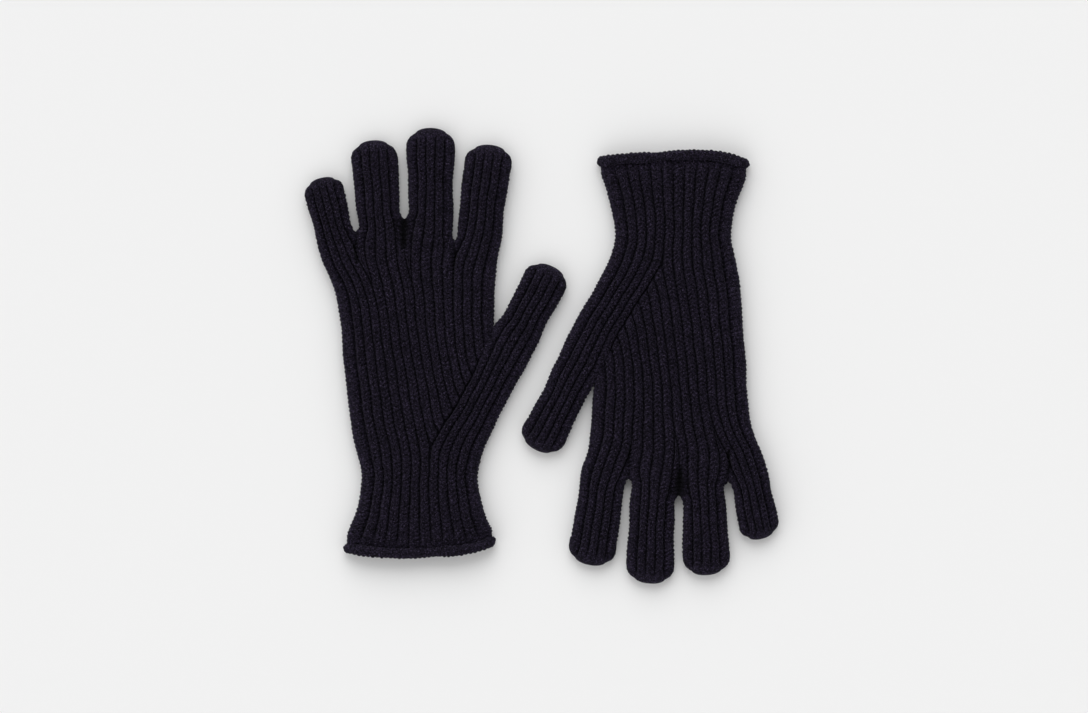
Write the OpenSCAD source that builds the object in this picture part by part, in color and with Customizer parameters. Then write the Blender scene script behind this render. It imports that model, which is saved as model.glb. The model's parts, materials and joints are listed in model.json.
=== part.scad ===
// A pair of ribbed knit gloves lying flat, side by side, one with its fingers up and one down.
// Each glove is a set of flat, hollow knit sections: a rolled edge, a cuff, the hand, the thumb's
// gusset, and a base and a tip section for every finger, which fold on each other.
// Each glove is drawn in its own frame first: the middle of the rolled edge's rim is at the
// origin, +Y runs to the fingertips, +X is the thumb's side, and the glove lies on z = 0.

/* [Knit] */
// Thickness of a glove as it lies flat
flat_t = 11; // [10:0.5:13]
// Thickness of one layer of ribbed knit
knit_t = 2.6; // [2.2:0.1:2.8]
// Gap between two sections that fold on each other
fold_gap = 0.5; // [0.4:0.1:0.8]

/* [Cuff] */
// Width of the rolled edge
hem_w = 92; // [90:1:96]
// Height of the rolled edge, along the glove
hem_h = 6; // [4:0.5:8]
// Width of the cuff where it leaves the rolled edge
cuff_w = 90; // [84:1:90]
// Width of the wrist
wrist_w = 70; // [66:1:74]
// Distance from the rolled edge's rim to the wrist
wrist_y = 49; // [46:1:52]

/* [Hand] */
// Distance from the rim to the point where the thumb's gusset leaves the palm
gusset_y = 66; // [60:1:70]
// Distance from the middle line to the hand's edge halfway up, away from the thumb
side_x = 46; // [44:0.5:48]
// Distance from the middle line to the hand's edge between thumb and index finger
crotch_x = 44; // [43:0.5:44]

/* [Little finger] */
// Length past the fold at its knuckle
little_len = 38.5; // [34:0.5:44]
// Width
little_w = 24; // [22:0.5:24]
// Lean towards the thumb
little_tilt = -14; // [-16:0.5:-12]

/* [Ring finger] */
// Length past the fold at its knuckle
ring_len = 52.5; // [46:0.5:58]
// Width
ring_w = 26.5; // [24:0.5:26.5]
// Lean towards the thumb
ring_tilt = -4.5; // [-6:0.5:-4]

/* [Middle finger] */
// Length past the fold at its knuckle
middle_len = 58; // [52:0.5:64]
// Width
middle_w = 27.5; // [25:0.5:27.5]
// Lean towards the thumb
middle_tilt = 0.5; // [0:0.5:1]

/* [Index finger] */
// Length past the fold at its knuckle
index_len = 58.5; // [52:0.5:64]
// Width
index_w = 27; // [25:0.5:27]
// Lean towards the thumb
index_tilt = 7.5; // [7:0.5:9]

/* [Thumb] */
// Length past the fold at its base
thumb_len = 48.5; // [44:0.5:54]
// Width
thumb_w = 26.5; // [24:0.5:26.5]
// Lean away from the hand
thumb_tilt = 27; // [26:0.5:30]

/* [Pair] */
// How far the gloves' middle lines lie apart
pair_x = 152; // [150:1:170]
// How far the two rims lie apart, along the gloves
pair_y = 241; // [230:1:250]
// Lean of the left glove towards its thumb, above the wrist
left_lean = 0; // [0:0.1:3]
// Lean of the right glove towards its thumb, above the wrist
right_lean = 2.1; // [0:0.1:3]

/* [Hidden] */
$fn = 48;
KNIT = [0.095, 0.083, 0.118];
KNIT_EDGE = [0.105, 0.09, 0.13];
lumen_t = flat_t - 2 * knit_t;
over = 1;          // how far a cutting solid runs past what it cuts
cuff_steps = 7;
cuff_flare = 1.5;  // how late the cuff opens: 1 is a straight slope

// Each finger: the middle of its first fold, its lean, its length past that fold, its width,
// how far along it the second fold is, and the slope of its folds from its own width
LITTLE = [[-50.7, 189], little_tilt, little_len, little_w, 0.48 * little_len, little_tilt];
RING = [[-23.8, 197], ring_tilt, ring_len, ring_w, 0.48 * ring_len, ring_tilt];
MIDDLE = [[6.7, 199], middle_tilt, middle_len, middle_w, 0.48 * middle_len, middle_tilt];
INDEX = [[34.8, 188.5], index_tilt, index_len, index_w, 0.48 * index_len, index_tilt];
THUMB = [[56.6, 131.6], thumb_tilt, thumb_len, thumb_w, 0.5 * thumb_len, 0];
FINGERS = [LITTLE, RING, MIDDLE, INDEX];

function turned(p, a) = [p.x * cos(a) - p.y * sin(a), p.x * sin(a) + p.y * cos(a)];
function leaned(p, lean) = turned(p - [0, wrist_y], -lean) + [0, wrist_y];
// The middle of a fingertip's round end, in the glove's frame
function tip_middle(f, lean) =
    leaned(f[0] + (f[2] - f[3] / 2) * [sin(f[1]), cos(f[1])], lean);
function far_x(lean) = max(hem_w / 2, LITTLE[3] / 2 - tip_middle(LITTLE, lean).x);
function far_y(lean) = max([for (f = FINGERS) tip_middle(f, lean).y + f[3] / 2]);
// The rims' middles, with the pair's own middle at the origin
left_at = [far_x(left_lean) - pair_x - far_x(right_lean), -pair_y + far_y(right_lean) - far_y(left_lean)] / 2;
right_at = left_at + [pair_x, pair_y];

knuckle_low = 179;  // where the hollows of the fingers start inside the hand
knuckle_left = LITTLE[0].x - little_w / 2 / cos(little_tilt);
knuckle_right = INDEX[0].x + index_w / 2 / cos(index_tilt);
ring_left = RING[0].x - ring_w / 2 / cos(ring_tilt);
middle_left = MIDDLE[0].x - middle_w / 2;
middle_right = MIDDLE[0].x + middle_w / 2;
thumb_side = [cos(thumb_tilt), -sin(thumb_tilt)] * thumb_w / 2;
seam = [[wrist_w / 12, wrist_y - over], [wrist_w / 12 + 0.8, gusset_y], [crotch_x, THUMB[0].y - thumb_side.y - 0.6]];

// Puts a glove's own frame where the glove lies: the left one fingers up, the right one turned round
module left() { translate(left_at) children(); }
module right() { translate(right_at) rotate(180) children(); }

// Leans what lies past the wrist towards the thumb
module lean_over(lean) {
    translate([0, wrist_y]) rotate(-lean) translate([0, -wrist_y]) children();
}

// Section across a flat tube with round edges
module flat_oval(w, t) {
    square([w - t, t], center = true);
    for (side = [-1, 1]) translate([side * (w - t) / 2, 0]) circle(d = t);
}

// A flat tube along +Y from y0 to y1, lying on z = 0
module flat_bar(w, t, y0, y1) {
    translate([0, y1, t / 2]) rotate([90, 0, 0]) linear_extrude(y1 - y0) flat_oval(w, t);
}

// The round end of a flat bar, past y = 0
module round_end(w, t) {
    rotate_extrude(angle = 180) translate([0, t / 2]) intersection() {
        flat_oval(w, t);
        translate([0, -t / 2]) square([w / 2, t]);
    }
}

// Everything between two folds of a finger, across its own frame
module between_folds(slope, y0, y1) {
    rotate(slope) translate([-2 * thumb_w, y0 * cos(slope), -over])
        cube([4 * thumb_w, (y1 - y0) * cos(slope), flat_t + 2 * over]);
}

module at_finger(f) { translate(f[0]) rotate(-f[1]) children(); }

// The hollow of a finger, from y0 to y1 along it
module finger_lumen(f, y0, y1) {
    at_finger(f) translate([0, 0, knit_t]) flat_bar(f[3] - 2 * knit_t, lumen_t, y0, y1);
}

module finger_base(f) {
    color(KNIT) at_finger(f) intersection() {
        difference() {
            flat_bar(f[3], flat_t, -f[3], f[2] - f[3] / 4);
            translate([0, 0, knit_t]) flat_bar(f[3] - 2 * knit_t, lumen_t, -f[3] - over, f[2]);
        }
        between_folds(f[5], fold_gap / 2, f[4] - fold_gap / 2);
    }
}

module finger_tip(f) {
    round_y = f[2] - f[3] / 2;
    color(KNIT) at_finger(f) intersection() {
        difference() {
            union() {
                flat_bar(f[3], flat_t, 0, round_y);
                translate([0, round_y]) round_end(f[3], flat_t);
            }
            translate([0, 0, knit_t]) {
                flat_bar(f[3] - 2 * knit_t, lumen_t, -over, round_y);
                translate([0, round_y]) round_end(f[3] - 2 * knit_t, lumen_t);
            }
        }
        between_folds(f[5], f[4] + fold_gap / 2, f[2] + f[3]);
    }
}

// The rolled edge: a flat ring whose rim is rolled round
module hem() {
    module roll_section() {
        translate([(flat_t - knit_t) / 2, knit_t / 2]) circle(d = knit_t);
        translate([lumen_t / 2, knit_t / 2]) square([knit_t, hem_h - knit_t / 2]);
    }
    color(KNIT_EDGE) for (side = [-1, 1]) {
        translate([0, 0, flat_t / 2]) rotate([0, side * 90, 0])
            linear_extrude(hem_w - flat_t, center = true) roll_section();
        translate([side * (hem_w - flat_t) / 2, 0, flat_t / 2]) rotate([-90, -side * 90, 0])
            rotate_extrude(angle = 180) roll_section();
    }
}

// Half the cuff's width at y
function cuff_half(y, inset) =
    wrist_w / 2 - inset + (cuff_w - wrist_w) / 2 * pow(max(wrist_y - y, 0) / (wrist_y - hem_h), cuff_flare);

module cuff_outline(inset, y0, y1) {
    ys = [for (i = [0:cuff_steps]) y0 + (y1 - y0) * i / cuff_steps];
    polygon(concat(
        [for (y = ys) [cuff_half(max(y, hem_h), inset), y]],
        [for (i = [cuff_steps:-1:0]) [-cuff_half(max(ys[i], hem_h), inset), ys[i]]]));
}

module cuff() {
    color(KNIT) difference() {
        linear_extrude(flat_t) cuff_outline(0, hem_h, wrist_y - fold_gap / 2);
        translate([0, 0, knit_t]) linear_extrude(lumen_t) cuff_outline(knit_t, hem_h - over, wrist_y + over);
    }
}

// The hand without the thumb's gusset, from the wrist to the four knuckle folds
module hand_outline() {
    low = -fold_gap / 2;
    polygon(concat(
        [[-wrist_w / 2, wrist_y - over], [-side_x + 7, wrist_y + 21], [-side_x, 124], [-side_x - 4.5, 158]],
        [[knuckle_left, LITTLE[0].y + low], [ring_left - 0.3, LITTLE[0].y + low]],
        [[ring_left - 0.3, RING[0].y + low], [middle_left - 2, RING[0].y + low]],
        [[middle_left - 2, MIDDLE[0].y + low], [middle_right, MIDDLE[0].y + low]],
        [[middle_right, INDEX[0].y + low], [knuckle_right, INDEX[0].y + low]],
        [[crotch_x + 2, 172], [crotch_x, 150]],
        [seam[2], seam[1], seam[0]]));
}

// Its hollow, open at the wrist and at the gusset's seam
module hand_hollow() {
    polygon([
        [-wrist_w / 2 + knit_t, wrist_y - 2 * over], [-side_x + 7 + knit_t, wrist_y + 21],
        [-side_x + knit_t, 124], [-side_x - 4.5 + knit_t, 157],
        [knuckle_left + 5.5, 181], [crotch_x - knit_t, 181], [crotch_x - knit_t, seam[2].y + 2],
        seam[2] + [over, -knit_t], seam[1] + [2 * knit_t, -knit_t], [seam[0].x + 2 * knit_t, wrist_y - 2 * over]]);
}

// Cuts away what would lie over the wrist's fold
module past_wrist() {
    difference() {
        children();
        translate([-hem_w, 0, -over]) cube([2 * hem_w, wrist_y + fold_gap / 2, flat_t + 2 * over]);
    }
}

module hand(lean) {
    color(KNIT) past_wrist() lean_over(lean) difference() {
        linear_extrude(flat_t) hand_outline();
        translate([0, 0, knit_t]) linear_extrude(lumen_t) hand_hollow();
        for (f = FINGERS) finger_lumen(f, knuckle_low - f[0].y, f[3] / 3);
    }
}

module gusset_outline() {
    polygon([
        seam[0], [wrist_w / 2, wrist_y - over], [wrist_w / 2, wrist_y + 3], [wrist_w / 2 + 6, wrist_y + 21],
        THUMB[0] + thumb_side - [sin(thumb_tilt), cos(thumb_tilt)] * fold_gap / 2,
        THUMB[0] - thumb_side - [sin(thumb_tilt), cos(thumb_tilt)] * fold_gap / 2,
        seam[2], seam[1]]);
}

// Its hollow, open at the wrist and at the seam
module gusset_hollow() {
    polygon([
        [seam[0].x - 2 * knit_t, wrist_y - 2 * over], [wrist_w / 2 - knit_t, wrist_y - 2 * over],
        [wrist_w / 2 - knit_t, wrist_y + 3], [wrist_w / 2 + 6 - knit_t - 0.3, wrist_y + 21],
        THUMB[0] + thumb_side * 0.78 - [sin(thumb_tilt), cos(thumb_tilt)] * 2,
        THUMB[0] - thumb_side * 0.78 - [sin(thumb_tilt), cos(thumb_tilt)] * 2,
        seam[2] + [-2 * knit_t, -knit_t - 2], seam[1] + [-2 * knit_t, 0]]);
}

module thumb_gusset(lean) {
    color(KNIT) past_wrist() lean_over(lean) difference() {
        linear_extrude(flat_t) gusset_outline();
        translate([0, 0, knit_t]) linear_extrude(lumen_t) gusset_hollow();
        finger_lumen(THUMB, -5, over);
    }
}

left() hem();  // left_hem
left() cuff();  // left_cuff
left() hand(left_lean);  // left_hand
left() thumb_gusset(left_lean);  // left_thumb_gusset
left() lean_over(left_lean) finger_base(THUMB);  // left_thumb_base
left() lean_over(left_lean) finger_tip(THUMB);  // left_thumb_tip
left() lean_over(left_lean) finger_base(INDEX);  // left_index_base
left() lean_over(left_lean) finger_tip(INDEX);  // left_index_tip
left() lean_over(left_lean) finger_base(MIDDLE);  // left_middle_base
left() lean_over(left_lean) finger_tip(MIDDLE);  // left_middle_tip
left() lean_over(left_lean) finger_base(RING);  // left_ring_base
left() lean_over(left_lean) finger_tip(RING);  // left_ring_tip
left() lean_over(left_lean) finger_base(LITTLE);  // left_little_base
left() lean_over(left_lean) finger_tip(LITTLE);  // left_little_tip
right() hem();  // right_hem
right() cuff();  // right_cuff
right() hand(right_lean);  // right_hand
right() thumb_gusset(right_lean);  // right_thumb_gusset
right() lean_over(right_lean) finger_base(THUMB);  // right_thumb_base
right() lean_over(right_lean) finger_tip(THUMB);  // right_thumb_tip
right() lean_over(right_lean) finger_base(INDEX);  // right_index_base
right() lean_over(right_lean) finger_tip(INDEX);  // right_index_tip
right() lean_over(right_lean) finger_base(MIDDLE);  // right_middle_base
right() lean_over(right_lean) finger_tip(MIDDLE);  // right_middle_tip
right() lean_over(right_lean) finger_base(RING);  // right_ring_base
right() lean_over(right_lean) finger_tip(RING);  // right_ring_tip
right() lean_over(right_lean) finger_base(LITTLE);  // right_little_base
right() lean_over(right_lean) finger_tip(LITTLE);  // right_little_tip
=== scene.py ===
"""A pair of rib-knit wool gloves lying flat, seen from straight above.

Each glove is knitted here rib by rib, in its own flat frame in millimetres: the middle of the
rolled edge's rim is the origin, +Y runs to the fingertips, +X is the thumb's side and the glove
lies on z = 0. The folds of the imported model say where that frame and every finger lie.
A sheet of knit is a grid of rows (along a rib) and columns (across the ribs). Its base shape is
worked out first, and the ribs and their stitches then stand out of it along its normals.
"""
import json
import math
import bpy
import numpy as np
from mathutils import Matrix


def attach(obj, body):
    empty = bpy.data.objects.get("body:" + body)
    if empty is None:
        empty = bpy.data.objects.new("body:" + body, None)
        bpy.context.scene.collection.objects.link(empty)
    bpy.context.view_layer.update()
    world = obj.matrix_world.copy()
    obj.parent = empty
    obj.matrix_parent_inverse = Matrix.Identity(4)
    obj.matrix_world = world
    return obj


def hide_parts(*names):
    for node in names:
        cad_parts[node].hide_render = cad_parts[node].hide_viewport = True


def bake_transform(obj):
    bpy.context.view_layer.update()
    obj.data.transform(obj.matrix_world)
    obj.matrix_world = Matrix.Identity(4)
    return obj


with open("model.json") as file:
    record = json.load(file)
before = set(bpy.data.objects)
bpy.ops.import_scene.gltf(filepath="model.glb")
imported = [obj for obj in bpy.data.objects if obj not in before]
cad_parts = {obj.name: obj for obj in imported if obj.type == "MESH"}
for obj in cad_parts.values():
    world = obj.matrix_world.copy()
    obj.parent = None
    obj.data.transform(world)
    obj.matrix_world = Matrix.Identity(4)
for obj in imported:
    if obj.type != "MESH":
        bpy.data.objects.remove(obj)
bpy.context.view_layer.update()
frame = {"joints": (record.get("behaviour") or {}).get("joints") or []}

MM = 0.001

# The knit
STITCH = 2.6            # height of one stitch along a rib
RELIEF = 3.0            # how far a rib stands out of the grooves beside it
ROW_STEP = STITCH / 5
TOP_STEPS = 14          # columns across a rib on the upper face
UNDER_STEPS = 6
EQUATOR = 3.6           # height of a flat glove's side edge
RISE = 4.3              # from that edge up to the middle of the upper face
FALL = 0.5              # and down to the under face
LOWEST = 0.05           # no knit lies lower than this
UNDER_ROUND = 3.0       # how round the under face's ribs turn in at the side edge
EDGE_CUT = 0.75         # the share of an edge rib that lies on each face
EDGE_ROUND = 15         # how far in from an outline the upper face keeps rising
OVAL = 2.4              # exponent of a finger's section and of its round end
ARC = 0.55              # how much the ribs narrow towards a finger's sides

# The cuff and the hand
WRIST_Y = 49
RIM_Y = 5.0             # where the cuff meets the rolled edge
RIM_SHARE = 0.35        # the share of the ribs' relief and of their painted groove shade left there
RIM_PAINTED_SHADE = 0.62        # the value that the painted groove shade fades to
CUFF_RIBS = 12
HAND_RIBS = 7           # of those, the ones that run into the hand; the rest run into the thumb
PALM_RIBS = 16
THUMB_RIBS = CUFF_RIBS - HAND_RIBS
FINGER_RIBS = 4         # palm ribs that run into each finger, which gains one more at the crotch
APEX_Y = 66             # where the thumb's gusset leaves the palm
THUMB_PART_Y = 106      # where the thumb's tube starts to part from the hand's
CROTCH = (43.9, 135.6)  # and where it has: between the thumb and the hand
SEAM_DEPTH = 0.16       # of the valley along the gusset's seam, as a share of the upper face's rise
SEAM_WIDTH = 2.6
FAN = 0.3               # how much further apart the palm's ribs lie beside that seam
FAN_REACH = 7           # and how far from it that holds

# The fingers
FINGERS = ["little", "ring", "middle", "index"]
FOLD_AT = {"thumb": 0.5, "index": 0.48, "middle": 0.48, "ring": 0.48, "little": 0.48}
WIDTH = {"thumb": 27.0, "index": 28.4, "middle": 28.8, "ring": 28.0, "little": 24.2}
WAIST = 0.06            # how much narrower a finger is halfway up
TURN_LENGTH = 14        # length over which a finger's rows turn square to it
ROOT_LENGTH = 10        # and over which its outer side takes the finger's own width
PLAIN_FROM = 0.45       # how far up a finger's round end its ribs run out, and over what share
PLAIN_SPAN = 0.5
TUBE_FROM = 160         # where the palm's section starts to turn into the fingers' ovals
TUBE_LENGTH = 27
SPLIT_FROM = 135        # where the columns of four ribs start to take unequal widths
SPLIT_LENGTH = 53
GAIN_Y = {"little": 162, "ring": 157, "middle": 160, "index": 163}  # where the extra rib starts
GAIN_SPAN = 40          # and how far it takes to reach its full width
GAIN_SIDE = {"little": 1, "ring": -1, "middle": -1, "index": -1}
FIT = {  # how far each finger lies from its packed place: across it, beyond its end, and degrees
    "left": {"thumb": (0.8, 0.0, 0.3), "index": (-0.2, 0.6, 0), "middle": (-0.5, 0.2, 0),
             "ring": (0.0, 0.6, 0), "little": (1.1, 1.0, 0)},
    "right": {"thumb": (-1.2, 3.6, -2.0), "index": (0.5, 0.8, 0), "middle": (-0.3, 0.2, 0),
              "ring": (0.5, 1.6, 0), "little": (0.8, 1.2, 0)},
}

# The crotches between the fingers, numbered 1 to 3 from the little finger's side
CROTCH_Y = {"left": [193.5, 201.7, 188.5], "right": [193.0, 202.3, 193.0]}
CREASE_FROM = 28        # how far below a crotch the crease between two tubes starts
CREASE_LENGTH = 25      # and the length over which it takes its full depth
PART_LENGTH = 7         # length below a crotch over which two columns part
OWN_LENGTH = 6          # and above it, over which each takes its finger's own width
NOTCH = 1.3             # how far a finger draws back on each side of a crotch's round bottom
NOTCH_RISE = 2.5        # over this height
NOTCH_FADE = 16         # and how far above that it is back to its own width
WEB_LENGTH = 22         # how far the sunk webs between the fingers reach down from their crotches
WEBS = {1: (2.2, 0.8), 2: (4.2, 1.0), 3: (2.2, 0.8)}  # half their width at the top, and their depth
WEB_PAINTED_SHADE = 1.0          # how much more painted shade they get than a groove, as a share of a rib's relief
WEB_POWER = 3.0         # how strongly a web's width goes to the ribs beside it
WEB_REACH = 30          # and how far below the crotch that starts


def smooth(t):
    t = np.clip(t, 0, 1)
    return t * t * (3 - 2 * t)


def mix(a, b, t):
    return a + (b - a) * t


def curve(*points):
    """A smooth x(y) through a few (y, x) points."""
    ys, xs = np.array(points, float).T
    slopes = np.gradient(xs, ys)

    def at(y):
        y = np.clip(y, ys[0], ys[-1])
        i = np.clip(np.searchsorted(ys, y) - 1, 0, len(ys) - 2)
        h = ys[i + 1] - ys[i]
        t = (y - ys[i]) / h
        start = (1 + 2 * t) * (1 - t) ** 2 * xs[i] + t * (1 - t) ** 2 * h * slopes[i]
        return start + t * t * (3 - 2 * t) * xs[i + 1] + t * t * (t - 1) * h * slopes[i + 1]
    return at


def grain(a, b):
    """A fixed pseudo-random value from 0 to 1 for each pair of numbers."""
    v = np.sin(a * 12.9898 + b * 78.233) * 43758.5453
    return v - np.floor(v)


def dome(d):
    """Rises from 0 at an outline to 1, EDGE_ROUND in from it."""
    return np.sqrt(1 - (1 - np.clip(d / EDGE_ROUND, 0, 1)) ** 2)


def oval(x, power=OVAL):
    return np.sqrt(np.clip(1 - np.abs(x) ** power, 0, 1))


def crown(w):
    """A rib's profile, 0 in the grooves and 1 on top, for w from -1 to 1 across it."""
    groove_at, flat_top, steep_side = 0.94, 2.2, 0.8
    return np.clip(1 - (np.abs(w) / groove_at) ** flat_top, 0, 1) ** steep_side


SWELL = RELIEF * float(crown(2 * EDGE_CUT - 1))  # how far an edge rib stands past the base shape
APART = 0.6 * SWELL  # how far each side draws back where two tubes part


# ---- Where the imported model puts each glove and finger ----

def joint(name):
    return next(j for j in frame["joints"] if j["name"] == name)


def read_glove(side):
    """The glove's place, its lean and its fingers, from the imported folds, in its own frame."""
    wrist = joint(f"{side}_wrist_fold")
    across = -np.array(wrist["axis"][:2])
    along = np.array([-across[1], across[0]])
    origin = np.array(wrist["pos_m"][:2]) / MM - WRIST_Y * along
    knuckle_axis = np.array(joint(f"{side}_index_knuckle_fold")["axis"][:2])
    lean = math.atan2(-knuckle_axis @ along, knuckle_axis @ across)
    crotches = np.array([np.inf, *CROTCH_Y[side], np.inf])  # none at the two outer edges
    glove = {"side": side, "across": across, "along": along, "origin": origin, "lean": lean,
             "crotches": crotches}
    for name in WIDTH:
        spots = []
        for fold in ("knuckle", "middle"):
            p = np.array(joint(f"{side}_{name}_{fold}_fold")["pos_m"][:2]) / MM - origin
            p = np.array([p @ across, p @ along - WRIST_Y])
            c, s = math.cos(lean), math.sin(lean)
            spots.append(np.array([c * p[0] - s * p[1], s * p[0] + c * p[1] + WRIST_Y]))
        reach = spots[1] - spots[0]
        fold_at = float(np.hypot(*reach))
        shift, longer, turn = FIT[side][name]
        tilt = math.atan2(reach[0], reach[1]) + math.radians(turn)
        glove[name] = {
            "knuckle": spots[0] + shift * np.array([math.cos(tilt), -math.sin(tilt)]),
            "tilt": tilt,
            "fold": fold_at,
            "length": fold_at / FOLD_AT[name] + longer - SWELL,
            "half": WIDTH[name] / 2 - SWELL,
        }
    return glove


# ---- The outline ----

def outlines(glove):
    """The glove's side edges and seam, inside the edge ribs' swell, as functions of y."""
    little, index, thumb = glove["little"], glove["index"], glove["thumb"]
    side = np.array([math.cos(thumb["tilt"]), -math.sin(thumb["tilt"])])
    outer = thumb["knuckle"] + thumb["half"] * side
    little_left = little["knuckle"][0] - little["half"] / math.cos(little["tilt"])
    index_right = index["knuckle"][0] + index["half"] / math.cos(index["tilt"])
    cuff = [(0, 46.0), (6, 45.2), (16, 42.0), (25, 39.0), (34, 36.7), (43, 35.2), (50, 35.0)]
    little_side = [(61, 37.2), (79, 41.4), (100, 43.8), (124, 46.2), (142, 48.0), (158, 50.6),
                   (168, 53.8), (178, 58.2)]
    thumb_side = [(61, 37.4), (70, 40.8), (88, 49.2), (106, 58.8)]
    index_side = [(143, 44.4), (150, 44.6), (165, 45.6), (178, 46.6)]
    left = curve(*[(y, SWELL - x) for y, x in cuff + little_side],
                 (little["knuckle"][1], little_left))
    right = curve(*[(y, x - SWELL) for y, x in cuff + thumb_side], (outer[1], outer[0]))
    seam = curve((WRIST_Y - 3, 5.6), (58, 6.1), (APEX_Y, 7.2), (75, 11.9), (87, 19.4),
                 (103, 28.6), (117, 35.8), (128, 40.6), (CROTCH[1], CROTCH[0]))
    hand_right = curve((CROTCH[1], CROTCH[0] - APART), *[(y, x - SWELL) for y, x in index_side],
                       (index["knuckle"][1], index_right))
    return {
        "left": left, "right": right, "hand_right": hand_right, "outer": outer, "middle": seam,
        "seam": lambda y: seam(y) - APART * smooth((y - CROTCH[1] + 7) / 7),
        "gusset_seam": lambda y: seam(y) + APART * smooth((y - CROTCH[1] + 7) / 7),
    }


def thumb_parting(y):
    """0 where hand and thumb are one tube, 1 at the crotch where they part."""
    return smooth((y - THUMB_PART_Y) / (CROTCH[1] - THUMB_PART_Y)) ** 1.4


def crotch_parting(glove, number, y):
    """The same for the side of a finger's column: 0 on the palm, 1 at the crotch."""
    return smooth((y - glove["crotches"][number] + CREASE_FROM) / CREASE_LENGTH) ** 1.5


def far_edge(shape, y):
    """The hand's edge on the thumb's side: the gusset's outline, or the edge past the crotch."""
    return np.where(y < CROTCH[1], shape["right"](y), shape["hand_right"](y))


def pitch_at(shape, y):
    """Width of a palm rib at y."""
    soften = 3
    below = APEX_Y - soften * np.logaddexp(0, (APEX_Y - y) / soften)
    low = (shape["seam"](below) - shape["left"](below)) / HAND_RIBS
    crotch_pitch = (shape["seam"](CROTCH[1]) - shape["left"](CROTCH[1])) / PALM_RIBS
    up = mix(low, crotch_pitch, smooth((y - APEX_Y) / (CROTCH[1] - APEX_Y)))
    top = (shape["hand_right"](y) - shape["left"](y)) / PALM_RIBS
    return np.where(y < CROTCH[1], up, top)


def side_lines(glove, name, y):
    """The x of a finger's two edges at height y in the glove's frame."""
    finger = glove[name]
    middle = finger["knuckle"][0] + (y - finger["knuckle"][1]) * math.tan(finger["tilt"])
    half = finger["half"] / math.cos(finger["tilt"])
    return middle - half, middle + half


def rib_gain(name, y):
    """How far a finger's extra rib has grown at y, from 0 to 1 of a rib's width."""
    return smooth((y - GAIN_Y[name]) / GAIN_SPAN)


def relief_of_extra(gain):
    """The extra rib's share of a rib's relief, full once it has some width."""
    return smooth(gain * 4)


def draw_back(glove, number, place, y):
    """How far a finger's column moves in from the crotches beside it, most at its edge ribs."""
    moved = 0 * place * y
    for side, inwards in ((0, 1), (1, -1)):
        crotch = number + side
        if not 0 < crotch < len(FINGERS):
            continue
        name = FINGERS[number]
        full = relief_of_extra(rib_gain(name, y)) if inwards == -GAIN_SIDE[name] else 1
        above = y - glove["crotches"][crotch]
        apart = APART * smooth(above / PART_LENGTH + 1) * (1 - smooth(above / OWN_LENGTH)) * full
        notch = NOTCH * smooth(above / NOTCH_RISE) * (1 - smooth((above - NOTCH_RISE) / NOTCH_FADE))
        moved = moved + inwards * (apart + notch) * np.clip(-inwards * place, 0, 1) ** 2
    return moved


def spread_ribs(glove, name, place, y, own, bounds):
    """Where places across a finger lie between its bounds, given its own sides.

    Far from a crotch the ribs share the bounds' distance from the finger's own sides evenly.
    Beside one, the ribs next to it take nearly all of it, and the others run on straight.
    """
    across = (place + 1) / 2
    spot = mix(own[0], own[1], across)
    for side, share in ((0, 1 - across), (1, across)):
        crotch = FINGERS.index(name) + side if name in FINGERS else 0
        power = 1.0
        if 0 < crotch < len(FINGERS):
            power = 1 + WEB_POWER * smooth((y - glove["crotches"][crotch]) / WEB_REACH + 1)
        spot = spot + (bounds[side] - own[side]) * np.clip(share, 0, 1) ** power
    return spot


def column_bounds(glove, shape, number, y):
    """The x of the two sides of a finger's column of palm ribs at y."""
    left, right = shape["left"](y), shape["hand_right"](y)
    bounds = []
    for k, own in zip((number, number + 1), side_lines(glove, FINGERS[number], y)):
        even = k / len(FINGERS)
        if not 0 < k < len(FINGERS):
            bounds.append(left + (right - left) * even)
            continue
        edge = glove["crotches"][k]
        meet = side_lines(glove, FINGERS[k - 1], edge)[1] + side_lines(glove, FINGERS[k], edge)[0]
        split = (meet / 2 - shape["left"](edge)) / (shape["hand_right"](edge) - shape["left"](edge))
        shared = left + (right - left) * mix(even, split, smooth((y - SPLIT_FROM) / SPLIT_LENGTH))
        bounds.append(mix(shared, own, smooth((y - edge) / OWN_LENGTH)))
    return bounds


# ---- Ribs and stitches ----

def across_ribs(count, steps):
    """For every column of a sheet: its rib's number, and its place in the rib from 0 to 1."""
    t = np.arange(steps) / steps
    t = t - 0.5 * np.sin(4 * np.pi * t) / (4 * np.pi)
    return np.append(np.repeat(np.arange(count), steps), count - 1), np.append(np.tile(t, count), 1.0)


def cut_edges(rib, part, left, right):
    """Ends the edge ribs at EDGE_CUT, where left and right say how far the sides are outer edges."""
    left, right = mix(1, EDGE_CUT, left), mix(1, EDGE_CUT, right)
    part = np.where(rib == rib.min(), 1 - (1 - part) * left[:, None], part)
    return np.where(rib == rib.max(), part * right[:, None], part)


def stitches(part, along, rib, depth, level):
    """How far the knit stands out of its base, for places across a rib and along it in mm.

    A stitch is a pair of legs that slope down to a narrow cleft in the middle of the rib. Each leg
    bulges, and dips where it meets the next. level fades them out at the side edges.
    """
    slope, cleft_width, cleft_depth = 0.85, 0.13, 0.6
    w = 2 * part - 1
    leg = along / STITCH - slope * np.abs(w) + 0.5 * grain(rib, 3.0)
    uneven = grain(rib * 2 + (w > 0), np.floor(leg))
    dip = 0.75 + 0.65 * uneven
    bulge = 0.13 + 0.15 * uneven
    yarn = np.abs(np.sin(np.pi * leg)) ** 0.9
    stitch = dip * (yarn - 1) - cleft_depth * np.exp(-((w / cleft_width) ** 2))
    lumps = 0.5 * (grain(rib + 7.1 * part, along * 3.7) - 0.5)
    stitch = stitch * (0.25 + 0.75 * smooth(level * 1.1)) + lumps
    return crown(w * (1.15 - bulge * yarn)) * (depth + stitch)


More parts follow.
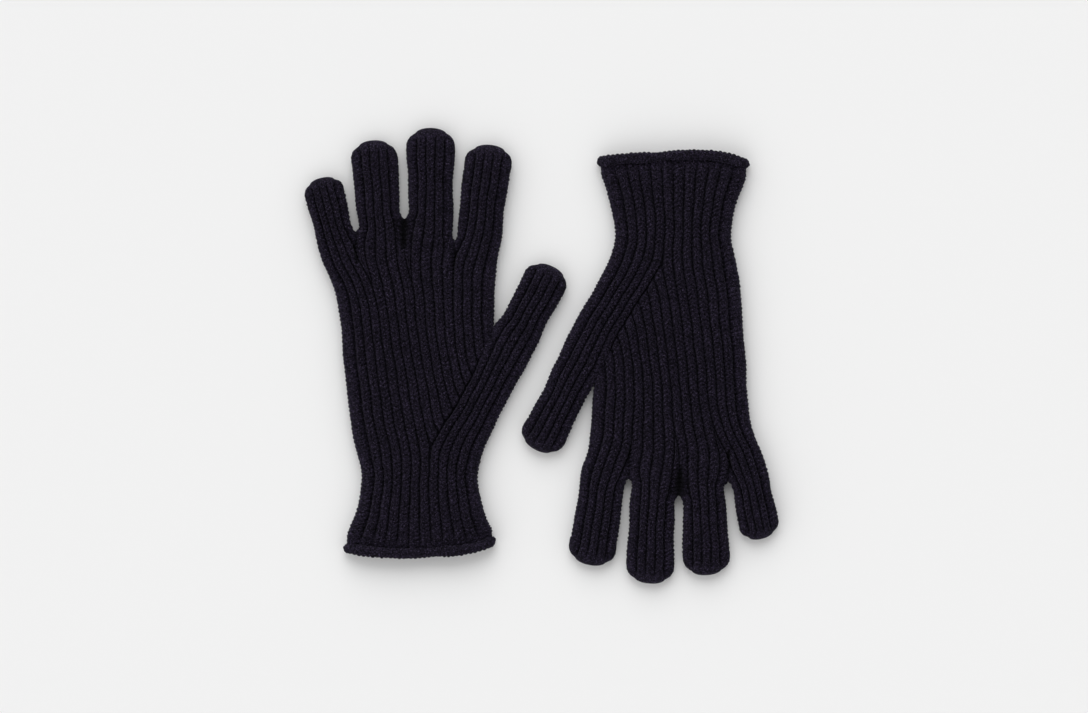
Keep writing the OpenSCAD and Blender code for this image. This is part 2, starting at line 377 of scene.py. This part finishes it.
def unit(vectors):
    """The vectors at length 1, and straight up where they have none."""
    size, least = np.linalg.norm(vectors, axis=-1, keepdims=True), 1e-9
    return np.where(size > least, vectors / np.maximum(size, least), np.array((0.0, 0.0, 1.0)))


def sheet_normals(x, y, level, out, left, right):
    """A sheet's normals, turned level at its sides by how far those are outer edges."""
    bulge = RISE if out > 0 else UNDER_ROUND
    shell = np.stack([x, y, out * bulge * level], axis=2)
    normal = out * unit(np.cross(np.gradient(shell, axis=1), np.gradient(shell, axis=0)))
    for column, weight, turn in ((0, left, -1), (-1, right, 1)):
        along = np.gradient(shell[:, column, :2], axis=0)
        outward = turn * np.stack([along[:, 1], -along[:, 0], 0 * along[:, 0]], axis=1)
        normal[:, column] = unit(mix(normal[:, column], unit(outward), weight[:, None]))
    return normal


def stand_out(base, normal, bump, relief=RELIEF):
    """The knit's points, each with its share of a rib's full relief there, which sets the painted
    shade in the grooves.
    """
    moved = base + normal * bump[..., None]
    moved[..., 2] = np.maximum(moved[..., 2], LOWEST)
    return np.concatenate([moved, (bump / relief)[..., None]], axis=2)


def height(level, out):
    """The height of a sheet where level says how far it is from its edge (0) to full (1)."""
    return EQUATOR + (RISE if out > 0 else -FALL) * level


# ---- The sheets ----

def cuff_sheet(shape, out, steps):
    ys = np.linspace(RIM_Y - ROW_STEP, WRIST_Y, round((WRIST_Y - RIM_Y) / ROW_STEP) + 2)
    rib, part = across_ribs(CUFF_RIBS, steps)
    y = np.broadcast_to(ys[:, None], (len(ys), len(rib)))
    left, right = shape["left"](y), shape["right"](y)
    x = left + (right - left) * (rib + part) / CUFF_RIBS
    level = np.minimum(dome(x - left), dome(right - x)) - seam_dip(shape, x, y)
    whole = np.ones(len(ys))
    depth = RELIEF * from_rim(y, -0.5, 8)
    bump = stitches(cut_edges(rib, part, whole, whole), y, rib + 0.0, depth, level)
    base = np.stack([x, y, height(level, out)], axis=2)
    knit = stand_out(base, sheet_normals(x, y, level, out, whole, whole), bump, depth)
    # Near the rim the painted shade in the grooves fades to one even value.
    knit[..., 3] = mix(RIM_PAINTED_SHADE, knit[..., 3], from_rim(y, 1, 11))
    return knit


def from_rim(y, start, length):
    """Grows from RIM_SHARE at the rolled edge to 1."""
    return mix(RIM_SHARE, 1, smooth((y - RIM_Y - start) / length))


def seam_dip(shape, x, y):
    """The valley along the seam between the hand and the thumb's gusset."""
    away = np.abs(x - shape["middle"](y))
    return SEAM_DEPTH * smooth((y - WRIST_Y - 1) / 20) * np.exp(-((away / SEAM_WIDTH) ** 2))


def oval_place(place, parting):
    """Turns places across a tube, 0 to 1, into -1 to 1, with narrower ribs at a finger's sides."""
    even = 2 * place - 1
    return mix(even, np.sin(even * ARC * np.pi / 2) / math.sin(ARC * np.pi / 2), parting)


def rib_shares(name, rib, part, y):
    """Which rib is the finger's extra one, how far it has grown at y, and every place's share."""
    gain = rib_gain(name, y)
    extra = 0 if GAIN_SIDE[name] < 0 else FINGER_RIBS
    before = rib if extra else np.where(rib == 0, 0, rib - 1 + gain)
    return extra, gain, (before + part * np.where(rib == extra, gain, 1)) / (FINGER_RIBS + gain)


def gap_to_seam(shape, number, place, y):
    """How far a column's places lie from the gusset's seam, which swallows rib after rib."""
    count = (number + (place + 1) / 2) * FINGER_RIBS
    gap = shape["seam"](y) - shape["left"](y) - pitch_at(shape, y) * count
    fan = FAN * smooth((y - 56) / 14) * (1 - smooth((y - 108) / 29))
    return np.maximum(gap * (1 + fan * np.exp(-np.maximum(gap, 0) / FAN_REACH)), 0)


def palm_rows(glove, shape, number, out, steps):
    """A finger's column of palm ribs, from the wrist to that finger's knuckle."""
    name = FINGERS[number]
    lowest = min(glove[f]["knuckle"][1] for f in FINGERS)
    top = glove[name]["knuckle"][1]
    shared = np.linspace(WRIST_Y, lowest, round((lowest - WRIST_Y) / ROW_STEP) + 1)
    own = np.linspace(lowest, top, round((top - lowest) / ROW_STEP) + 1)[1:]
    ys = np.concatenate([shared, own])
    y = np.broadcast_to(ys[:, None], (len(ys), (FINGER_RIBS + 1) * steps + 1))

    rib, part = across_ribs(FINGER_RIBS + 1, steps)
    extra, gain, share = rib_shares(name, rib, part, y)
    parting = smooth((y - TUBE_FROM) / TUBE_LENGTH)
    place = oval_place(share, parting)

    bounds = column_bounds(glove, shape, number, y)
    spot = spread_ribs(glove, name, place, y, side_lines(glove, name, y), bounds)
    gap = gap_to_seam(shape, number, place, y)
    joined = y < CROTCH[1]
    x = np.where(joined, shape["seam"](y) - gap, spot + draw_back(glove, number, place, y))
    level = palm_level(glove, shape, x, y, place, number, parting)

    left, right = np.ones(len(ys)), thumb_parting(ys)
    if number > 0:
        left = crotch_parting(glove, number, ys)
    if number < len(FINGERS) - 1:
        right = crotch_parting(glove, number + 1, ys)
    rib_number = np.where(rib == extra, 100 + number, rib + number * FINGER_RIBS - (extra == 0))
    bump = stitches(cut_edges(rib, part, left, right), y, rib_number + 0.0, RELIEF, level)
    bump = bump * np.where(rib == extra, relief_of_extra(gain), 1)
    beside_seam = mix(1, smooth(gap / 2.4), smooth((y - WRIST_Y - 1) / 12)) * (gap > 0)
    bump = bump * np.where(joined, mix(beside_seam, 1, thumb_parting(y)), 1)
    return x, y, level, bump, sheet_normals(x, y, level, out, left, right)


def palm_level(glove, shape, x, y, place, number, parting):
    """How far the hand's faces have risen from its side edges and from the crotches' creases."""
    edges = np.minimum(dome(x - shape["left"](y)), dome(far_edge(shape, y) - x))
    bound = np.where(place < 0, number, number + 1)
    part = crotch_parting(glove, bound, y)
    crease = 1 - part + part * oval(place, OVAL + 14 * (1 - part))
    at_crotch = np.minimum(mix(edges, 1, parting), crease)
    at_side = mix(edges, oval(place), parting)
    level = np.where((bound == 0) | (bound == len(FINGERS)), at_side, at_crotch)
    thumb = np.where(y < CROTCH[1], thumb_parting(y), 0)
    level = np.minimum(level, 1 - thumb * (1 - dome(shape["seam"](y) - x)))
    return level - seam_dip(shape, x, y) * (y < CROTCH[1]) * (1 - thumb_parting(y))


def walk(points, fractions):
    """Points at fractions of a path's length, and that length."""
    run = np.concatenate([[0], np.cumsum(np.hypot(*np.diff(points, axis=0).T))])
    found = [np.interp(fractions * run[-1], run, points[:, i]) for i in (0, 1)]
    return np.stack(found, axis=1), run[-1]


def gusset_rows(shape, out, steps):
    """The thumb's ribs between the wrist and the thumb's first fold."""
    samples = 200
    seam_y = np.linspace(WRIST_Y, CROTCH[1], samples)
    edge_y = np.linspace(WRIST_Y, shape["outer"][1], samples)
    inner = np.stack([shape["gusset_seam"](seam_y), seam_y], axis=1)
    outer = np.stack([shape["right"](edge_y), edge_y], axis=1)
    rows = round((walk(inner, np.zeros(1))[1] + walk(outer, np.zeros(1))[1]) / 2 / ROW_STEP)
    a, b = [walk(path, np.linspace(0, 1, rows + 1))[0] for path in (inner, outer)]
    rib, part = across_ribs(THUMB_RIBS, steps)
    parting = thumb_parting(a[:, 1])
    place = oval_place((rib + part)[None, :] / THUMB_RIBS, parting[:, None])
    x = mix(a[:, :1], b[:, :1], (place + 1) / 2)
    y = mix(a[:, 1:], b[:, 1:], (place + 1) / 2)
    aslant = mix(1, 0.93, smooth((y - WRIST_Y) / 12))  # this edge slants, so it is nearer
    edges = np.minimum(dome(x - shape["left"](y)), dome((shape["right"](y) - x) * aslant))
    parted = parting[:, None]
    at_seam = np.minimum(mix(edges, 1, parted), 1 - parted + parted * oval(place))
    level = np.where(place < 0, at_seam, mix(edges, oval(place), parted))
    level = level - seam_dip(shape, x, y) * (1 - parted)
    whole = np.ones(rows + 1)
    along = WRIST_Y + np.arange(rows + 1)[:, None] * ROW_STEP + 0 * place
    knit = cut_edges(rib, part, parting, whole)
    bump = stitches(knit, along, rib + HAND_RIBS + 0.0, RELIEF, level)
    return x, y, level, bump, sheet_normals(x, y, level, out, parting, whole), along[-1, 0]


def own_width(glove, name, t):
    """How far each side of a finger has taken the finger's own width, t beyond its knuckle row."""
    shares = [smooth(t / ROOT_LENGTH), smooth(t / ROOT_LENGTH)]
    for side in (0, 1):
        crotch = FINGERS.index(name) + side if name in FINGERS else 0
        if 0 < crotch < len(FINGERS):
            above = glove[name]["knuckle"][1] + t - glove["crotches"][crotch]
            shares[side] = smooth(above / OWN_LENGTH)
    return shares


def finger_rows(glove, name, out, steps, ends, start, first_rib):
    """A finger beyond its knuckle row. ends are its sides there, start its stitches' count."""
    finger = glove[name]
    ribs = THUMB_RIBS if name == "thumb" else FINGER_RIBS + 1
    half, length, fold = finger["half"], finger["length"], finger["fold"]
    cap = length - half
    fold_row, cap_row, cap_rows = [round(v / ROW_STEP) for v in (fold, cap - fold, half)]
    t = np.concatenate([np.linspace(0, fold, fold_row + 1)[1:],
                        np.linspace(fold, cap, cap_row + 1)[1:]])
    rib, part = across_ribs(ribs, steps)
    whole_place = oval_place((rib + part) / ribs, 1)[None, :]
    edge = (1 - np.abs(whole_place) ** OVAL).clip(0, 1) ** (1 / OVAL)
    v = np.sin(np.linspace(0, 1, cap_rows + 1)[1:, None] * np.pi / 2)
    t = np.concatenate([np.repeat(t[:, None], len(rib), axis=1), cap + half * edge * v])
    if name == "thumb":
        place, grown = whole_place, 1
    else:
        extra, gain, share = rib_shares(name, rib, part, finger["knuckle"][1] + t)
        place, grown = oval_place(share, 1), np.where(rib == extra, relief_of_extra(gain), 1)
    past = np.clip((t - cap) / half, 0, 1)
    level = np.sqrt(np.clip(1 - np.abs(place) ** OVAL - past ** OVAL, 0, 1))

    turn = finger["tilt"] * (1 if name == "thumb" else smooth(t / TURN_LENGTH)) + 0 * t
    slim = 1 - WAIST * np.sin(np.pi * np.clip(t / cap, 0, 1)) ** 2
    spread = half * slim / np.cos(finger["tilt"] - turn)
    low_share, high_share = own_width(glove, name, t)
    low, high = mix(ends[0], -spread, low_share), mix(ends[1], spread, high_share)
    offset = spread_ribs(glove, name, place, finger["knuckle"][1] + t, (-spread, spread), (low, high))
    if name != "thumb":
        offset = offset + draw_back(glove, FINGERS.index(name), place, finger["knuckle"][1] + t)
    x = finger["knuckle"][0] + t * math.sin(finger["tilt"]) + offset * np.cos(turn)
    y = finger["knuckle"][1] + t * math.cos(finger["tilt"]) - offset * np.sin(turn)

    sideways = np.sign(place) * np.abs(place) ** (OVAL - 1) / half + 0 * t
    onwards = past ** (OVAL - 1) / half
    upwards = out * level / (RISE if out > 0 else UNDER_ROUND) * 2 / OVAL
    normal = unit(np.stack([
        sideways * np.cos(turn) + onwards * math.sin(finger["tilt"]),
        onwards * math.cos(finger["tilt"]) - sideways * np.sin(turn),
        upwards], axis=2))
    whole = np.ones(len(t))
    knit = cut_edges(rib, part, whole, whole)
    bump = stitches(knit, start + t, rib + first_rib + 0.0, RELIEF, level)
    bump = mix(bump * grown, SWELL, smooth((past - PLAIN_FROM) / PLAIN_SPAN))
    return x, y, level, bump, normal, fold_row


def web_dip(glove, x, y):
    """How far the knit sinks into the webs just below the three crotches, from 0 to 1."""
    dip = np.zeros(x.shape)
    for crotch, (half_width, depth) in WEBS.items():
        top = glove["crotches"][crotch]
        left_finger, right_finger = FINGERS[crotch - 1], FINGERS[crotch]
        meet = (side_lines(glove, left_finger, top)[1] + side_lines(glove, right_finger, top)[0]) / 2
        along = np.clip((y - top + WEB_LENGTH) / WEB_LENGTH, 0, 1)
        reach = smooth(2 * along) * (1 - smooth((y - top) / 4))
        width = half_width * (0.35 + 0.65 * along)
        dip = np.maximum(dip, depth * reach * np.exp(-((x - meet) / width) ** 2))
    return dip


def join_rows(glove, lower, upper, out):
    """Puts a finger's rows on the rows below its knuckle, and splits them at the two folds."""
    x, y, level, bump, normal = [np.concatenate(pair) for pair in zip(lower, upper)]
    kept = 1 - web_dip(glove, x, y)
    knit = stand_out(np.stack([x, y, height(level * kept, out)], axis=2), normal, bump)
    # Painted shade: in the webs the grooves' shade deepens and the colour turns darker than a
    # groove's.
    knit[..., 3] = knit[..., 3] * kept - WEB_PAINTED_SHADE * (1 - kept)
    knuckle = len(lower[0]) - 1
    fold = knuckle + upper[5]
    return knit[:knuckle + 1], knit[knuckle:fold + 1], knit[fold:]


def finger_sheets(glove, shape, name, out, steps):
    """The knit of a finger's column of the palm, of its base and of its tip."""
    number = FINGERS.index(name)
    finger = glove[name]
    knuckle = finger["knuckle"]
    palm = palm_rows(glove, shape, number, out, steps)
    low, high = column_bounds(glove, shape, number, np.array([knuckle[1]]))
    ends = (float(low[0]) - knuckle[0], float(high[0]) - knuckle[0])
    rows = finger_rows(glove, name, out, steps, ends, knuckle[1],
                       number * FINGER_RIBS - (GAIN_SIDE[name] < 0))
    return join_rows(glove, palm, rows, out)


def thumb_sheets(glove, shape, out, steps):
    """The knit of the gusset, of the thumb's base and of its tip."""
    finger = glove["thumb"]
    *gusset, start = gusset_rows(shape, out, steps)
    inner = (shape["gusset_seam"](CROTCH[1]), CROTCH[1])
    ends = (-float(np.hypot(*(finger["knuckle"] - inner))), finger["half"])
    rows = finger_rows(glove, "thumb", out, steps, ends, start, HAND_RIBS)
    return join_rows(glove, gusset, rows, out)


# ---- The rolled edge and the lining of the mouth ----

def mouth_ring(shape, count):
    """A closed ring of x, z and outward normals round the cuff's mouth."""
    angle = np.linspace(0, 2 * np.pi, 2000)
    half = float(shape["right"](RIM_Y))
    square = 0.55
    x = half * np.sign(np.cos(angle)) * np.abs(np.cos(angle)) ** square
    level = np.minimum(dome(half - x), dome(half + x))
    z = np.where(np.sin(angle) >= 0, height(level, 1), height(level, -1))
    points = np.stack([x, z], axis=1)
    ring, length = walk(points, np.linspace(0, 1, count + 1))
    step = np.roll(ring[:-1], -1, axis=0) - np.roll(ring[:-1], 1, axis=0)
    normal = np.stack([step[:, 1], -step[:, 0]], axis=1)
    normal /= np.linalg.norm(normal, axis=1, keepdims=True)
    return ring[:-1], normal, length


def roll_sheet(shape):
    """The rim, where plain knit rolls outwards into a soft tube covered in rows of small loops."""
    count, turns = 520, 30
    loop_width, loop_rows = 2.7, 7
    radius_along, radius_out = 2.6, 1.8
    ahead, lift = 2.3, 0.7
    ring, normal, length = mouth_ring(shape, count)
    along = np.arange(count + 1) % count
    run = along[None, :] * length / count
    angle = np.linspace(0, 2 * np.pi, turns + 1)[:, None]
    row = angle * loop_rows / (2 * np.pi)
    brick = np.pi * (round(length / loop_width) * run / length + 0.5 * np.floor(row))
    nubs = np.abs(np.sin(brick)) ** 0.7 * np.abs(np.sin(np.pi * row)) ** 0.6
    nubs = nubs * (0.45 + 0.45 * grain(np.floor(brick / np.pi), np.floor(row)))
    soft = 1 + 0.12 * np.sin(run / 9.0) + 0.08 * np.sin(run / 4.1 + 1.3)
    y = RIM_Y - ahead + (radius_along * soft + nubs) * np.cos(angle)
    away = lift + (radius_out * soft + nubs) * np.sin(angle)
    x = ring[along, 0][None, :] + normal[along, 0][None, :] * away
    z = ring[along, 1][None, :] + normal[along, 1][None, :] * away
    # Painted shade: the colour is darker between the loops and lighter on them.
    shade_by_crest = np.broadcast_to(0.30 + 0.60 * nubs, x.shape)
    points = np.stack([x, np.broadcast_to(y, x.shape), np.maximum(z, LOWEST), shade_by_crest], axis=2)
    return [points[::-1]]


def lining_sheets(shape):
    """The inner faces that show in the open mouth, from the rim down to where it is too dark."""
    inner_y, side_gap, thickness, relief = 36, 0.6, 0.9, 0.9
    sheets = []
    rib, part = across_ribs(CUFF_RIBS, UNDER_STEPS)
    ys = np.arange(RIM_Y - 3, inner_y, STITCH / 3)
    y = np.broadcast_to(ys[:, None], (len(ys), len(rib)))
    left, right = shape["left"](y) + side_gap, shape["right"](y) - side_gap
    x = left + (right - left) * (rib + part) / CUFF_RIBS
    level = np.minimum(dome(x - left), dome(right - x))
    for out in (1, -1):
        z = height(level, out) - out * thickness * np.minimum(1, level * 3)
        base = np.stack([x, y, z], axis=2)
        knit = np.mod(part + 0.5, 1)
        bump = stitches(knit, y, rib + 40.0, relief, level) * np.minimum(1, level * 2)
        inward = np.broadcast_to(np.array([0, 0, -out]), base.shape)
        # Measured against a rib's full relief, these shallow stitches get the grooves' dark painted
        # shade.
        sheets.append(stand_out(base, inward, bump))
    return sheets


# ---- From the glove's frame to the table ----

BOWS = {  # how far the rim curves up from a straight line, across the cuff
    "left": curve((-46, 2.8), (-22, 0.4), (8, 0.5), (30, 2.9), (46, 7.5)),
    "right": curve((-46, 2.6), (-18, -2.8), (0, -2.3), (12, -1.1), (28, -0.7), (46, 1.4)),
}
WAVE_PHASE = {"left": 0.7, "right": 2.9}  # so that the two gloves' edges wave differently
LEAN_LENGTH = 20  # length above the wrist over which the hand takes its lean
MERGE = 2e-6      # points of a piece closer than this, in metres, become one


def lay_out(glove, points):
    """Bows the rim, waves and leans the glove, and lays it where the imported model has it."""
    x, y, z = points[..., 0], points[..., 1], points[..., 2]
    y = y + BOWS[glove["side"]](x) * (1 - smooth((y - 4) / 26))
    phase = WAVE_PHASE[glove["side"]]
    slow = 0.28 * np.sin(y / 8.5 + phase) * np.cos(x / 13 + phase)
    quick = 0.16 * np.sin(y / 3.9 + x / 6)
    x = x + slow + quick
    y = y + 0.2 * np.sin(x / 7.0 + phase)
    bend = -glove["lean"] * smooth((y - WRIST_Y) / LEAN_LENGTH)
    c, s = np.cos(bend), np.sin(bend)
    up = y - WRIST_Y
    x, y = c * x - s * up, s * x + c * up + WRIST_Y
    flat = glove["origin"] + x[..., None] * glove["across"] + y[..., None] * glove["along"]
    return np.concatenate([flat, z[..., None]], axis=2) * MM


def make_piece(name, glove, tops, unders, material, slot_name, nodes):
    """One mesh from sheets that face up or out (tops) and sheets that face down (unders)."""
    points, shade_by_crest, quads, first = [], [], [], 0
    for sheets, flip in ((tops, False), (unders, True)):
        for sheet in sheets:
            rows, columns = sheet.shape[:2]
            number = first + np.arange(rows * columns).reshape(rows, columns)
            corners = [number[:-1, :-1], number[:-1, 1:], number[1:, 1:], number[1:, :-1]]
            if flip:
                corners = corners[::-1]
            quads.append(np.stack([c.ravel() for c in corners], axis=1))
            points.append(lay_out(glove, sheet).reshape(-1, 3))
            shade_by_crest.append(sheet[..., 3].ravel())
            first += rows * columns
    points, quads = np.concatenate(points), np.concatenate(quads)
    _, keep, same = np.unique(np.round(points / MERGE).astype(np.int64), axis=0,
                              return_index=True, return_inverse=True)
    points, shade_by_crest, quads = points[keep], np.concatenate(shade_by_crest)[keep], same.reshape(-1)[quads]
    follows = np.roll(quads, -1, axis=1)
    distinct = quads != follows
    sides = distinct.sum(axis=1)
    quads, distinct, sides = quads[sides > 2], distinct[sides > 2], sides[sides > 2]
    mesh = bpy.data.meshes.new(name)
    mesh.vertices.add(len(points))
    mesh.vertices.foreach_set("co", points.ravel())
    mesh.loops.add(int(sides.sum()))
    mesh.loops.foreach_set("vertex_index", quads[distinct])
    mesh.polygons.add(len(sides))
    mesh.polygons.foreach_set("loop_start", np.concatenate([[0], np.cumsum(sides)[:-1]]))
    # Each point's share of a rib's relief, which sets the wool's painted shade in the grooves.
    mesh.attributes.new("shade_by_crest", "FLOAT", "POINT").data.foreach_set("value", shade_by_crest)
    mesh.update(calc_edges=True)
    mesh.validate()
    mesh.polygons.foreach_set("use_smooth", np.ones(len(mesh.polygons), bool))
    mesh.materials.append(material)
    piece = bpy.data.objects.new(name, mesh)
    bpy.context.scene.collection.objects.link(piece)
    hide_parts(*nodes)
    return piece


# ---- Materials ----

DARK_FIBRE = (0.0012, 0.0008, 0.0020)
PALE_FIBRE = (0.0190, 0.0149, 0.0308)
STRAY_HAIR = (0.042, 0.033, 0.058)


def wool(name, fuzz):
    """Very dark carded wool: flecked colour, painted shade in the grooves, a fine fibrous bump, a
    soft sheen.
    """
    material = bpy.data.materials.new(name)
    material.use_nodes = True
    nodes, links = material.node_tree.nodes, material.node_tree.links
    shader = nodes["Principled BSDF"]
    shader.inputs["Sheen Weight"].default_value = fuzz
    shader.inputs["Sheen Roughness"].default_value = 0.45
    shader.inputs["Sheen Tint"].default_value = (0.80, 0.76, 1.0, 1)
    shader.inputs["Specular IOR Level"].default_value = 0.08
    where = nodes.new("ShaderNodeTexCoord")

    def noise(scale, detail, roughness):
        node = nodes.new("ShaderNodeTexNoise")
        node.inputs["Scale"].default_value = scale
        node.inputs["Detail"].default_value = detail
        node.inputs["Roughness"].default_value = roughness
        links.new(where.outputs["Object"], node.inputs["Vector"])
        return node.outputs["Fac"]

    def ramp(source, *stops):
        node = nodes.new("ShaderNodeValToRGB")
        elements = node.color_ramp.elements
        while len(elements) < len(stops):
            elements.new(1.0)
        for element, (position, colour) in zip(elements, stops):
            element.position = position
            element.color = (*colour, 1)
        links.new(source, node.inputs["Fac"])
        return node.outputs["Color"]

    def blend(kind, a, b, share=1.0):
        node = nodes.new("ShaderNodeMix")
        node.data_type = "RGBA"
        node.blend_type = kind
        for socket, value in ((node.inputs["Factor"], share), (node.inputs[6], a),
                              (node.inputs[7], b)):
            if isinstance(value, bpy.types.NodeSocket):
                links.new(value, socket)
            else:
                socket.default_value = value
        return node.outputs[2]

    # Painted shade: the colour darkens from the ribs' tops down into the grooves, made uneven by
    # noise.
    shade_by_crest = nodes.new("ShaderNodeAttribute")
    shade_by_crest.attribute_name = "shade_by_crest"
    flecks = noise(850, 4, 0.85)
    fibres = ramp(flecks, (0.46, DARK_FIBRE), (0.62, PALE_FIBRE))
    hairs = ramp(noise(1500, 1, 0.5), (0.58, (0, 0, 0)), (0.70, STRAY_HAIR))
    patches = ramp(noise(140, 3, 0.6), (0.35, (0.80, 0.80, 0.82)), (0.65, (1.16, 1.13, 1.15)))
    uneven = nodes.new("ShaderNodeMath")
    uneven.operation = "MULTIPLY_ADD"
    uneven.inputs[1].default_value = 0.9
    links.new(noise(420, 2, 0.6), uneven.inputs[0])
    links.new(shade_by_crest.outputs["Fac"], uneven.inputs[2])
    # painted shade: near black in the grooves, full colour on the ribs' tops
    depth = ramp(uneven.outputs["Value"], (0.0, (0.06, 0.06, 0.07)), (0.45, (0.27, 0.27, 0.29)),
                 (1.0, (1.0, 1.0, 1.0)))
    colour = blend("MULTIPLY", blend("ADD", blend("MULTIPLY", fibres, patches), hairs), depth)
    links.new(colour, shader.inputs["Base Color"])
    dull = ramp(flecks, (0.3, (0.98, 0.98, 0.98)), (0.7, (0.82, 0.82, 0.82)))
    links.new(dull, shader.inputs["Roughness"])
    bump = nodes.new("ShaderNodeBump")
    bump.inputs["Strength"].default_value = 0.9
    bump.inputs["Distance"].default_value = 0.0005
    links.new(flecks, bump.inputs["Height"])
    links.new(bump.outputs["Normal"], shader.inputs["Normal"])
    return material


def floor_material():
    material = bpy.data.materials.new("pale_floor")
    material.use_nodes = True
    shader = material.node_tree.nodes["Principled BSDF"]
    shader.inputs["Base Color"].default_value = (0.86, 0.86, 0.86, 1)
    shader.inputs["Roughness"].default_value = 0.9
    shader.inputs["Specular IOR Level"].default_value = 0.1
    return material


# ---- Knit both gloves ----

BEND = 12  # length past a fold at which a second table point is worked out

rib_wool = wool("dark_wool_rib", 0.03)
edge_wool = wool("dark_wool_edge", 0.04)


def table_point(glove, x, y):
    spot = np.array([[[x, y, 0.0]]])
    return tuple(lay_out(glove, spot)[0, 0])


def knit_glove(side):
    glove = read_glove(side)
    shape = outlines(glove)
    faces = ((1, TOP_STEPS), (-1, UNDER_STEPS))

    hem = make_piece(f"{side}_rolled_edge", glove, roll_sheet(shape), [], edge_wool,
                     "wool_rolled_edge", [f"{side}_hem"])
    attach(hem, f"{side}_cuff")

    up, under = [cuff_sheet(shape, out, steps) for out, steps in faces]
    lining_top, lining_under = lining_sheets(shape)
    cuff = make_piece(f"{side}_cuff_knit", glove, [up, lining_under], [under, lining_top],
                      rib_wool, "wool_rib", [f"{side}_cuff"])
    table_point(glove, 0, WRIST_Y)
    table_point(glove, 0, WRIST_Y - BEND)
    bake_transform(cuff)

    palms = []
    for name in FINGERS:
        sheets = [finger_sheets(glove, shape, name, out, steps) for out, steps in faces]
        palms.append([face[0] for face in sheets])
        bend_finger(side, name, glove, sheets)
    hand = make_piece(f"{side}_hand_knit", glove, *zip(*palms), rib_wool, "wool_rib",
                      [f"{side}_hand"])
    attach(hand, f"{side}_hand")

    sheets = [thumb_sheets(glove, shape, out, steps) for out, steps in faces]
    gusset = make_piece(f"{side}_gusset_knit", glove, *[[face[0]] for face in sheets], rib_wool,
                        "wool_rib", [f"{side}_thumb_gusset"])
    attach(gusset, f"{side}_hand")
    bend_finger(side, "thumb", glove, sheets)


def bend_finger(side, name, glove, sheets):
    """Makes a finger's two pieces, its base and its tip, from its upper and under sheets."""
    finger = glove[name]
    axis = np.array([math.sin(finger["tilt"]), math.cos(finger["tilt"])])
    first_way = axis if name == "thumb" else np.array([0.0, 1.0])
    knuckle = finger["knuckle"]
    fold = knuckle + finger["fold"] * axis
    base = make_piece(f"{side}_{name}_base_knit", glove, *[[face[1]] for face in sheets],
                      rib_wool, "wool_rib", [f"{side}_{name}_base"])
    table_point(glove, *knuckle)
    table_point(glove, *(knuckle + BEND * first_way))
    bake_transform(base)
    tip = make_piece(f"{side}_{name}_tip_knit", glove, *[[face[2]] for face in sheets],
                     rib_wool, "wool_rib", [f"{side}_{name}_tip"])
    table_point(glove, *fold)
    table_point(glove, *(fold + BEND * axis))
    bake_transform(tip)


# ---- Stage, light and camera ----

SURROUND = 1.52       # how bright the surround is at its brightest height, ahead and behind
LEFT_BRIGHTER = 0.35  # and how much brighter it is on the left, as a share of that


def build_stage():
    size = 3.0
    mesh = bpy.data.meshes.new("floor")
    mesh.from_pydata([(-size, -size, 0), (size, -size, 0), (size, size, 0), (-size, size, 0)],
                     [], [(0, 1, 2, 3)])
    mesh.materials.append(floor_material())
    floor = bpy.data.objects.new("floor", mesh)
    bpy.context.scene.collection.objects.link(floor)


def build_light():
    """A pale surround, brighter on the left, and a wide soft light from beyond the picture's top."""
    world = bpy.data.worlds.new("studio")
    world.use_nodes = True
    nodes, links = world.node_tree.nodes, world.node_tree.links
    way = nodes.new("ShaderNodeTexCoord")
    parts = nodes.new("ShaderNodeSeparateXYZ")
    fade = nodes.new("ShaderNodeValToRGB")
    fade.color_ramp.elements[0].color = (0.45, 0.45, 0.45, 1)
    fade.color_ramp.elements[1].color = (0.05, 0.05, 0.05, 1)
    brightest = fade.color_ramp.elements.new(0.4)
    brightest.color = (1, 1, 1, 1)
    links.new(way.outputs["Generated"], parts.inputs["Vector"])
    links.new(parts.outputs["Z"], fade.inputs["Fac"])
    links.new(fade.outputs["Color"], nodes["Background"].inputs["Color"])
    slant = nodes.new("ShaderNodeMath")
    slant.operation = "MULTIPLY_ADD"
    slant.inputs[1].default_value = -LEFT_BRIGHTER * SURROUND
    slant.inputs[2].default_value = SURROUND
    links.new(parts.outputs["X"], slant.inputs[0])
    links.new(slant.outputs["Value"], nodes["Background"].inputs["Strength"])
    bpy.context.scene.world = world
    bpy.context.scene.view_settings.view_transform = "Standard"
    data = bpy.data.lights.new("soft_key", "SUN")
    data.energy = 1.25
    data.angle = math.radians(50)
    key = bpy.data.objects.new("soft_key", data)
    key.rotation_euler = (math.radians(-52), 0, math.radians(4))
    bpy.context.scene.collection.objects.link(key)


def build_camera():
    """Straight down, far off, so that the frame is 652.8 mm wide at the gloves."""
    view_width, distance, sensor = 0.6528, 3.2, 36.0
    aim_x, aim_y = 0.0015, -0.0003
    data = bpy.data.cameras.new("camera")
    data.sensor_width = sensor
    data.lens = sensor * distance / view_width
    data.clip_end = 20
    camera = bpy.data.objects.new("camera", data)
    bpy.context.scene.collection.objects.link(camera)
    camera.location = (aim_x, aim_y, distance)
    bpy.context.scene.camera = camera


build_stage()
build_light()
build_camera()
for glove_side in ("left", "right"):
    knit_glove(glove_side)
